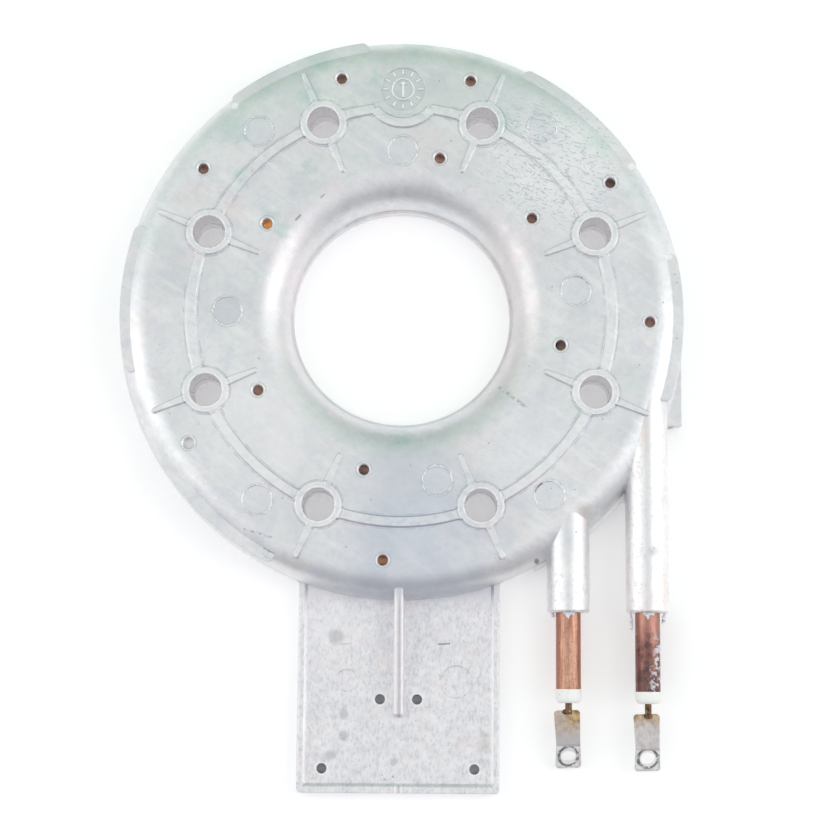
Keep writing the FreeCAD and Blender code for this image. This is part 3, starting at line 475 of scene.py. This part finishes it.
def plate_coats(p):
    """The plate: duller, mottled and gritty, with round dark stains; returns its mask and mottle."""
    plate = p.all(p.step(p.y, -RING_R + 4.0, -RING_R - 3.0),
                  p.step(p.x, PLATE_RIGHT_X + 0.5, PLATE_RIGHT_X - 0.5))
    mottle = p.noise(3.6, 5.0, 0.7, shift=61.0)
    tone = p.ramp(mottle, (0.34, (0.75, 0.75, 0.79)), (0.48, (0.84, 0.83, 0.86)), (0.64, (0.93, 0.915, 0.93)))
    p.base = p.mix(p.mul(plate, 0.75), p.base, tone)
    grit = p.noise(0.9, 4.0, 0.7, (1, 2, 1), shift=97.0)
    p.coat((0.98, 0.97, 0.98), plate, p.step(grit, 0.50, 0.64), 0.36)
    p.coat((0.44, 0.44, 0.48), plate, p.step(grit, 0.48, 0.36), 0.34)
    p.coat((0.88, 0.78, 0.78), plate, p.step(p.noise(9.0, 4.0, 0.6, shift=91.0), 0.52, 0.68), 0.30)
    p.coat((0.98, 0.97, 0.98), plate, p.spot(*PALE_PLATE, 9.0, p.slow_drift), 0.30)
    p.coat((0.45, 0.40, 0.32), plate, p.spots(PLATE_GRIME, 0.9, p.mul(p.wobble, 0.25)), 0.30)
    p.coat((0.34, 0.34, 0.38), plate, p.spots(PLATE_STAINS, 0.5, p.mul(p.wobble, 0.22)), 0.40)

    # painted highlights along the edge beads, a cluster of crumbs and two slots
    beside = p.math("ABSOLUTE", p.x)
    edge_highlights = p.most(p.ring(beside, PLATE_EDGE_X, 0.42), p.mul(p.ring(beside, PLATE_RIM_X, 0.35), p.broken))
    p.coat(WHITE, plate, edge_highlights, p.step(p.y, -155.5, -154.8), 0.85)
    crumbs = p.mul(p.dots(1.3, 0.34, 0.7, 95.0), p.spot(*PLATE_CRUMBS, 1.0))
    slots = p.most(p.stroke(*DARK_SLOT), p.mul(p.stroke(*FAINT_SLOT), 0.35))
    p.coat((0.15, 0.15, 0.18), p.most(crumbs, slots), 0.75)

    # painted shade on the floors and painted highlights on the edges of the blind holes
    holes = []
    for key in ("plate_near_holes", "plate_far_holes"):
        y = MOUNTS[key]["pos_m"][1] * 1000
        half = MOUNTS[key]["dims"]["spacing_x_mm"] / 2
        holes += [(-half, y, PLATE_HOLE_R), (half, y, PLATE_HOLE_R)]
    p.coat((0.16, 0.16, 0.18), p.spots(holes, 0.15), p.step(p.z, 2.9, 2.2), 0.70)
    nearest = p.least(*(p.flat_distance(x, y) for x, y, _ in holes))
    p.coat((0.98, 0.98, 0.99), plate, p.ring(nearest, 2.05, 0.35), p.broken, 0.75)

    # the stiffener: a brownish tone, painted highlights along both top edges, and painted shade as a darker
    # line between them
    spine = p.all(plate, p.step(beside, 2.1, 1.9), p.step(p.z, 3.6, 4.2))
    p.coat((0.80, 0.76, 0.79), spine, 0.55)
    p.coat((0.99, 0.99, 0.98), spine, p.most(p.ring(p.x, -0.85, 0.55), p.ring(p.x, 1.15, 0.35)), 0.85)
    p.coat((0.55, 0.51, 0.54), spine, p.ring(p.x, 0.25, 0.40), 0.55)
    return plate, mottle


def cast_aluminium():
    """The casting's finish, with its painted highlights and shade, laid coat over coat in the order below."""
    p = Paint("die_cast_aluminium")
    p.r = p.flat_distance(0, 0)
    p.cloud = p.noise(22.0, 4.0, 0.6, shift=3.0)
    p.patchy = p.noise(9.0, 5.0, 0.65, shift=11.0)
    p.slow_drift = p.mul(p.sub(p.cloud, 0.5), 16.0)
    p.wobble = p.mul(p.sub(p.noise(3.5, 4.0, 0.65, shift=7.0), 0.5), 12.0)
    p.broken = p.step(p.noise(1.6, 3.0, 0.6, shift=101.0), 0.38, 0.54)
    p.front = p.step(p.z, FRONT_Z - 2.5, FRONT_Z - 1.0)

    casting_skin(p)
    scuffed, cuts, hair = scuffs(p)
    dial_coats(p)
    pits = p.most(p.dots(4.2, 0.32, 0.25, 2.0),
                  p.mul(p.dots(11.0, 0.55, 0.35, 6.0), p.step(p.cloud, 0.45, 0.6)))
    p.coat((0.33, 0.33, 0.37), pits, 0.55)
    boss_coats(p)
    locator_coats(p)
    edges, turned = ejector_coats(p)
    specks = sleeve_coats(p)
    plate, mottle = plate_coats(p)

    rough = p.add(p.step(p.patchy, 0.3, 0.7, 0.39, 0.50), p.mul(scuffed, 0.06))
    rough = p.add(rough, p.mul(plate, 0.06))
    rough = p.sub(rough, p.mul(p.most(hair, edges), 0.10))
    height = p.add(p.mul(p.noise(0.9, 4.0, 0.6), 0.30), p.mul(p.patchy, 1.2))
    height = p.sub(height, p.mul(p.most(cuts, pits), 0.9))
    height = p.add(height, p.mul(edges, 0.8))
    height = p.sub(height, p.mul(turned, 0.08))
    height = p.sub(height, p.mul(specks, 0.35))
    height = p.add(height, p.all(plate, mottle, 1.6))
    return p.finish(p.base, rough, p.bump(height, 0.12, p.bevel(0.35)))


# ---------------------------------------------------------------- the other finishes

TINTED_HOLE = (-45.9, 32.5, 4.0)    # x, y and radius of the brightest patch on the buried sheath
LEG_LEN = 26.0          # a leg from its sleeve's mouth to its bead


def sheath_copper():
    """Bright short leg with painted shade down its flanks, dull and patchy long leg with white scale, and the
    dark buried turns.
    """
    p = Paint("oxidised_copper")
    long_leg = p.step(p.x, (LONG_X + SHORT_X) / 2 - 2.0, (LONG_X + SHORT_X) / 2 + 2.0)
    streak = p.noise(0.7, 4.0, 0.6, (1, 9, 1))
    cloud = p.noise(4.0, 4.0, 0.6, (1, 1.8, 1), shift=5.0)
    tone = p.add(p.mul(streak, 0.55), p.mul(cloud, 0.45))
    bright = p.ramp(tone, (0.34, (0.34, 0.17, 0.12)), (0.46, (0.50, 0.27, 0.19)), (0.58, (0.66, 0.39, 0.28)),
                    (0.74, (0.86, 0.64, 0.50)))
    freckles = p.step(p.noise(0.9, 4.0, 0.7, shift=19.0), 0.50, 0.66, 0.0, 0.55)
    bright = p.mix(freckles, bright, rgb(0.30, 0.13, 0.10))
    # painted shade: the short leg darker down both flanks
    off = p.math("ABSOLUTE", p.sub(p.x, SHORT_X))
    bright = p.mix(p.step(p.add(off, p.mul(cloud, 1.4)), 2.8, 4.6, 0.0, 0.60), bright, rgb(0.38, 0.14, 0.10))
    down = p.add(p.math("DIVIDE", p.sub(MOUTH_Y, p.y), LEG_LEN), p.mul(p.sub(cloud, 0.5), 0.7))
    dull = p.ramp(down, (0.05, (0.46, 0.24, 0.19)), (0.35, (0.34, 0.17, 0.145)), (0.62, (0.25, 0.125, 0.11)),
                  (0.90, (0.17, 0.095, 0.09)))
    dull = p.mix(p.step(streak, 0.50, 0.66, 0.0, 0.45), dull, rgb(0.44, 0.24, 0.18))
    patches = p.mul(p.step(p.noise(3.4, 4.0, 0.65, shift=13.0), 0.46, 0.62),
                    p.step(p.y, MOUTH_Y - 3.0, MOUTH_Y - 9.0))
    dull = p.mix(p.mul(patches, 0.62), dull, rgb(0.085, 0.055, 0.055))
    base = p.mix(long_leg, bright, dull)
    blobs = p.step(p.noise(1.9, 4.0, 0.65, shift=9.0), 0.49, 0.56)
    right = p.all(p.step(p.add(p.x, p.mul(cloud, 3.0)), LONG_X + 2.4, LONG_X + 4.4),
                  p.step(p.y, MOUTH_Y - 5.0, MOUTH_Y - 11.0))
    foot = p.all(p.step(p.y, MOUTH_Y - 14.0, MOUTH_Y - 22.0), p.step(p.x, LONG_X - 1.0, LONG_X + 2.0))
    white = p.mul(blobs, p.most(right, foot))
    base = p.mix(p.mul(white, 0.85), base, rgb(0.78, 0.79, 0.83))
    buried = p.step(p.y, -70.0, -60.0)
    hidden = p.ramp(p.noise(11.0, 2.0, 0.5, shift=17.0), (0.42, (0.19, 0.12, 0.105)),
                    (0.50, (0.28, 0.16, 0.13)), (0.60, (0.40, 0.23, 0.18)))
    hidden = p.mix(p.spot(*TINTED_HOLE, 1.0), hidden, rgb(0.85, 0.36, 0.12))
    base = p.mix(buried, base, hidden)
    rough = p.step(cloud, 0.3, 0.7, 0.34, 0.55)
    metal = p.step(white, 0.1, 0.5, 1.0, 0.2)
    normal = p.bump(p.add(p.mul(streak, 0.5), white), 0.08)
    return p.finish(base, rough, normal, metal)


def magnesia():
    p = Paint("pressed_magnesia")
    grain = p.noise(0.5, 4.0, 0.6)
    base = p.ramp(grain, (0.3, (0.74, 0.72, 0.68)), (0.7, (0.90, 0.89, 0.86)))
    return p.finish(base, 0.9, p.bump(grain, 0.05), 0.0)


def resistance_wire():
    p = Paint("resistance_wire")
    turns = p.node("ShaderNodeTexWave", {"Vector": p.place, "Scale": 0.6}).outputs[1]
    base = p.ramp(turns, (0.2, (0.20, 0.19, 0.18)), (0.8, (0.50, 0.48, 0.46)))
    return p.finish(base, 0.4, p.bump(turns, 0.2))


def pin_steel():
    p = Paint("heat_tinted_pin")
    cloud = p.noise(1.2, 4.0, 0.6)
    base = p.ramp(cloud, (0.35, (0.06, 0.035, 0.02)), (0.55, (0.20, 0.12, 0.075)), (0.72, (0.42, 0.33, 0.25)))
    return p.finish(base, p.step(cloud, 0.3, 0.7, 0.3, 0.5), p.bump(cloud, 0.06))


def ceramic():
    p = Paint("white_ceramic")
    cloud = p.noise(2.0, 4.0, 0.6)
    stain = p.step(p.noise(1.4, 3.0, 0.6, shift=8.0), 0.60, 0.72)
    base = p.ramp(cloud, (0.3, (0.92, 0.915, 0.89)), (0.6, (0.98, 0.98, 0.965)))
    base = p.mix(p.mul(stain, 0.35), base, rgb(0.55, 0.47, 0.38))
    return p.finish(base, 0.55, p.bump(cloud, 0.08), 0.0)


def tab_nickel(leg):
    """Nickel strip, heat-tinted near its weld, with painted shade before the short tab's bend, a flat foot
    laid pale as painted sheen, and painted shade along the foot's edges and round its hole.
    """
    p = Paint("heat_tinted_nickel_" + leg)
    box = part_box("terminal_tab_" + leg)
    top_y = box[1].y * 1000
    middle = (box[0].x + box[1].x) * 500
    cloud = p.noise(2.2, 4.0, 0.65)
    grain = p.noise(0.6, 3.0, 0.6, (1, 4, 1), shift=3.0)
    blend = p.add(p.mul(cloud, 0.7), p.mul(grain, 0.3))
    reach = p.sub(top_y, p.y)
    if leg == "long":
        base = p.ramp(blend, (0.32, (0.48, 0.46, 0.45)), (0.52, (0.64, 0.61, 0.60)),
                      (0.75, (0.80, 0.78, 0.77)))
        heat = p.mul(p.step(p.add(reach, p.mul(cloud, 4.0)), 6.6, 3.0), 0.80)
    else:
        base = p.ramp(blend, (0.32, (0.40, 0.33, 0.28)), (0.52, (0.58, 0.48, 0.41)),
                      (0.75, (0.76, 0.68, 0.62)))
        # painted shade on the tilted strip before the bend
        base = p.mix(p.step(reach, 6.5, 8.5, 0.0, 0.7), base, rgb(0.52, 0.52, 0.54))
        heat = p.all(p.step(p.add(reach, p.mul(cloud, 7.0)), 10.0, 6.0),
                     p.step(p.add(p.x, p.mul(cloud, 3.0)), middle - 0.5, middle + 3.0))
    tint = p.ramp(p.noise(2.6, 4.0, 0.6, shift=12.0), (0.35, (0.16, 0.09, 0.045)), (0.50, (0.42, 0.27, 0.13)),
                  (0.62, (0.66, 0.48, 0.26)), (0.75, (0.50, 0.49, 0.46)))
    base = p.mix(heat, base, tint)
    foot = p.step(reach, 11.4, 12.2)
    # painted sheen: the flat foot laid pale
    base = p.mix(p.mul(foot, 0.90), base, rgb(0.95, 0.94, 0.95))
    # painted shade along the foot's edges
    rim = p.step(p.math("ABSOLUTE", p.sub(p.x, middle)), 3.3, 3.9)
    rim = p.most(rim, p.step(p.sub(p.y, box[0].y * 1000), 1.2, 0.5))
    rim = p.mul(rim, p.step(p.noise(1.2, 3.0, 0.6, shift=23.0), 0.36, 0.52))
    base = p.mix(p.all(foot, rim, 0.40), base, rgb(0.26, 0.24, 0.24))
    # painted shade in a ring round the screw hole
    hole = MOUNTS["screw_hole_" + leg]["pos_m"]
    away = p.add(p.flat_distance(hole[0] * 1000, hole[1] * 1000), p.mul(cloud, 1.3))
    patchy = p.step(p.noise(1.5, 3.0, 0.6, shift=27.0), 0.34, 0.50)
    base = p.mix(p.all(foot, p.ring(away, 3.75, 0.65), patchy, 0.85), base, rgb(0.12, 0.10, 0.10))
    rough = p.add(p.step(cloud, 0.3, 0.7, 0.30, 0.46), p.mul(foot, 0.14))
    metal = p.step(foot, 0.2, 0.8, 1.0, 0.35)
    return p.finish(base, rough, p.bump(p.add(cloud, p.mul(grain, 0.5)), 0.06), metal)


# Each CAD node takes the finish of its own name, or of its name without the leg
FINISHES = {"ring_casting": cast_aluminium, "heater_sheath": sheath_copper, "magnesia_fill": magnesia,
            "resistance_coil": resistance_wire, "terminal_pin": pin_steel, "ceramic_bead": ceramic,
            "terminal_tab_long": lambda: tab_nickel("long"), "terminal_tab_short": lambda: tab_nickel("short")}
made = {}
for name, piece in frame["nodes"].items():
    key = name if name in FINISHES else name.removesuffix("_long").removesuffix("_short")
    if key not in made:
        made[key] = FINISHES[key]()
    piece.data.materials.clear()
    piece.data.materials.append(made[key])


# ---------------------------------------------------------------- burrs, flash and welds

BURR_R = 4.8
WELD_SIZE = (1.25, 0.9, 0.55)
SCRAP_OUTLINE = ((-2.4, 0.3), (2.2, 0.3), (1.6, -0.9), (0.5, -0.6), (-0.2, -2.3), (-1.2, -0.9))


def torn_scrap():
    p = Paint("torn_aluminium")
    grain = p.noise(0.5, 4.0, 0.65)
    base = p.ramp(grain, (0.32, (0.66, 0.72, 0.82)), (0.60, (0.95, 0.97, 1.0)))
    return p.finish(base, p.step(grain, 0.3, 0.7, 0.35, 0.55), p.bump(grain, 0.10), 0.35)


def add_piece(name, mesh, finish):
    piece = bpy.data.objects.new(name, mesh)
    bpy.context.scene.collection.objects.link(piece)
    mesh.materials.append(finish)
    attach(piece, "root")


def mesh_of(shape, name):
    """The finished bmesh as a mesh in its own name."""
    mesh = bpy.data.meshes.new(name)
    shape.to_mesh(mesh)
    shape.free()
    return mesh


def ragged_ribbon(name, line, width, height, seed):
    """Torn metal standing along a line of points in millimetres: a thin wall with a jagged top."""
    pick = random.Random(seed)
    shape = bmesh.new()
    rows = []
    for i, at in enumerate(line):
        ends = math.sin(math.pi * (i + 0.5) / len(line))
        ahead = (line[min(i + 1, len(line) - 1)] - line[max(i - 1, 0)]).normalized()
        out = Vector((ahead.y, -ahead.x, 0)) * width * (0.35 + 0.65 * ends)
        tall = height * ends * pick.uniform(0.35, 1.0)
        tilt = out * pick.uniform(-0.6, 0.9)
        corners = (at - out / 2, at + out / 2, at + out * 0.25 + tilt + Vector((0, 0, tall)),
                   at - out * 0.25 + tilt + Vector((0, 0, tall * 0.9)))
        rows.append([shape.verts.new(c / 1000) for c in corners])
    for a, b in zip(rows, rows[1:]):
        for k in range(4):
            shape.faces.new((a[k], a[(k + 1) % 4], b[(k + 1) % 4], b[k]))
    shape.faces.new(rows[0])
    shape.faces.new(rows[-1][::-1])
    bmesh.ops.recalc_face_normals(shape, faces=shape.faces)
    add_piece(name, mesh_of(shape, name), scrap)


def nugget(name, at, size, seed, finish):
    """A lumpy bead of melted metal, pressed flat."""
    pick = random.Random(seed)
    shape = bmesh.new()
    bmesh.ops.create_icosphere(shape, subdivisions=3, radius=1.0)
    lumps = [(Vector((pick.gauss(0, 1), pick.gauss(0, 1), pick.gauss(0, 1))).normalized(),
              pick.uniform(-0.22, 0.30)) for _ in range(9)]
    for v in shape.verts:
        way = v.co.normalized()
        grow = 1.0 + sum(amount * max(0.0, way.dot(lump)) ** 4 for lump, amount in lumps)
        v.co = (Vector(at) + Vector([c * s * grow for c, s in zip(way, size)])) / 1000
    for f in shape.faces:
        f.smooth = True
    add_piece(name, mesh_of(shape, name), finish)


def mark_edge(out, deg, start_deg, end_deg, count):
    """Points along part of an ejector mark's edge; the mark is given by its place from the bolt circle."""
    x, y = around(out, deg)
    turn = [math.radians(start_deg + (end_deg - start_deg) * i / (count - 1)) for i in range(count)]
    return [Vector((x + BURR_R * math.cos(a), y + BURR_R * math.sin(a), FRONT_Z - 0.1)) for a in turn]


def hanging_line(x, sideways, length, count):
    """Points from a sleeve's mouth outwards beside the sheath, at the height of the die's parting line."""
    steps = [i / (count - 1) for i in range(count)]
    return [Vector((x + sideways * t, MOUTH_Y + 0.5 - length * t, ELEMENT_Z)) for t in steps]


def flake(name, x, outline, seed):
    """A thin torn scrap of casting metal that lies on the sheath at a sleeve's mouth."""
    pick = random.Random(seed)
    edge = []
    for (x0, y0), (x1, y1) in zip(outline, outline[1:] + outline[:1]):
        for k in range(4):
            t = k / 4
            rough = 0.10 if k else 0.0
            edge.append((x0 + (x1 - x0) * t + pick.uniform(-rough, rough),
                         y0 + (y1 - y0) * t + pick.uniform(-rough, rough)))
    shape = bmesh.new()
    middle = [sum(c) / len(edge) for c in zip(*edge)]
    rings = []
    for lift, spread in ((0.02, 1.0), (0.28, 0.96), (0.42, 0.60)):
        row = []
        for dx, dy in edge:
            px = middle[0] + (dx - middle[0]) * spread
            py = middle[1] + (dy - middle[1]) * spread
            over = math.sqrt(SHEATH_R ** 2 - px * px)
            pz = ELEMENT_Z + over + lift * pick.uniform(0.8, 1.2)
            row.append(shape.verts.new(Vector((x + px, MOUTH_Y + py, pz)) / 1000))
        rings.append(row)
    for low, high in zip(rings, rings[1:]):
        for k in range(len(edge)):
            n = (k + 1) % len(edge)
            shape.faces.new((low[k], low[n], high[n], high[k]))
    shape.faces.new(rings[0][::-1])
    shape.faces.new(rings[-1])
    bmesh.ops.recalc_face_normals(shape, faces=shape.faces)
    add_piece(name, mesh_of(shape, name), scrap)


scrap = torn_scrap()

# torn edges of two ejector marks
lower_in, lower_deg = EJECTOR_INNER[-1]
ragged_ribbon("burr_lower_mark", mark_edge(-lower_in, lower_deg, 55, 125, 24), 0.55, 0.45, 3)
ragged_ribbon("burr_right_mark", mark_edge(EJECTOR_OUT, EJECTOR_OUTER_DEG[-1], 15, 80, 22), 0.6, 0.5, 5)

# flash squeezed out at the sleeves' mouths
ragged_ribbon("flash_long_right", hanging_line(LONG_X + 6.0, -1.1, 4.2, 16), 1.3, 0.9, 7)
ragged_ribbon("flash_long_left", hanging_line(LONG_X - 5.6, 0.5, 6.5, 20), 1.1, 0.9, 9)
ragged_ribbon("flash_short_left", hanging_line(SHORT_X - 5.4, 0.6, 2.2, 12), 1.0, 0.7, 11)

# a torn scrap on each leg at its sleeve's mouth, and the weld that holds each tab
for leg, x, seed in (("long", LONG_X, 13), ("short", SHORT_X, 15)):
    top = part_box("terminal_tab_" + leg)[1].y * 1000
    flake("flake_" + leg, x, SCRAP_OUTLINE, seed)
    nugget("weld_" + leg, (x - 0.1, top - 0.6, ELEMENT_Z - 0.35), WELD_SIZE, seed + 2,
           made["terminal_pin"])


# ---------------------------------------------------------------- floor and light

FLOOR_HALF = 3
FLOOR_GLOW = 0.24       # what the camera and reflections see on top of the lit paper
LAMP_POWER = {-1: 1.4, 1: 1.8}      # left and right of the object
LAMP_WIDTH, LAMP_LENGTH = 0.50, 0.9
LAMP_ASIDE, LAMP_UP = 0.80, 0.60

corners = [(-FLOOR_HALF, -FLOOR_HALF, 0), (FLOOR_HALF, -FLOOR_HALF, 0), (FLOOR_HALF, FLOOR_HALF, 0),
           (-FLOOR_HALF, FLOOR_HALF, 0)]
mesh = bpy.data.meshes.new("floor")
mesh.from_pydata(corners, [], [(0, 1, 2, 3)])
floor = bpy.data.objects.new("floor", mesh)
bpy.context.scene.collection.objects.link(floor)
paper = Paint("paper")
paper.finish(rgb(0.90, 0.895, 0.90), 0.9, None, 0.0)
seen = paper.node("ShaderNodeLightPath").outputs
strength = paper.mul(paper.most(seen["Is Camera Ray"], seen["Is Glossy Ray"]), FLOOR_GLOW)
glow = paper.node("ShaderNodeEmission", {"Color": rgb(1, 1, 1), "Strength": strength})
both = paper.node("ShaderNodeAddShader", {0: paper.shader.outputs[0], 1: glow.outputs[0]})
paper.tree.links.new(both.outputs[0], paper.tree.nodes["Material Output"].inputs["Surface"])
mesh.materials.append(paper.block)

# the studio around: dim beyond the plate, brightest overhead, faintly green beyond the ring's top
world = bpy.data.worlds.new("studio")
bpy.context.scene.world = world
sky = Paint("studio", world)
way = sky.split(sky.node("ShaderNodeTexCoord").outputs["Generated"])
along = sky.add(sky.mul(way[1], 0.5), 0.5)
tone = sky.ramp(along, (0.0, (0.36, 0.36, 0.40)), (0.04, (0.42, 0.42, 0.45)), (0.10, (0.52, 0.52, 0.54)),
                (0.215, (0.72, 0.72, 0.74)), (0.365, (0.86, 0.86, 0.87)), (0.50, (0.86, 0.86, 0.87)),
                (0.65, (0.80, 0.81, 0.81)), (0.81, (0.68, 0.80, 0.74)), (0.925, (0.62, 0.74, 0.66)),
                (0.99, (0.56, 0.62, 0.57)))
rays = sky.node("ShaderNodeLightPath").outputs
tone = sky.mix(rays["Is Camera Ray"], tone, rgb(1, 1, 1))
back = sky.tree.nodes["Background"]
sky.tree.links.new(tone, back.inputs[0])
back.inputs[1].default_value = 1.0

for side, power in LAMP_POWER.items():
    lamp = bpy.data.lights.new("softbox", "AREA")
    lamp.shape = "RECTANGLE"
    lamp.size = LAMP_WIDTH
    lamp.size_y = LAMP_LENGTH
    lamp.energy = power
    box = bpy.data.objects.new("softbox", lamp)
    box.location = (side * LAMP_ASIDE, 0.0, LAMP_UP)
    box.rotation_euler = Vector(box.location).to_track_quat("Z", "Y").to_euler()
    bpy.context.scene.collection.objects.link(box)
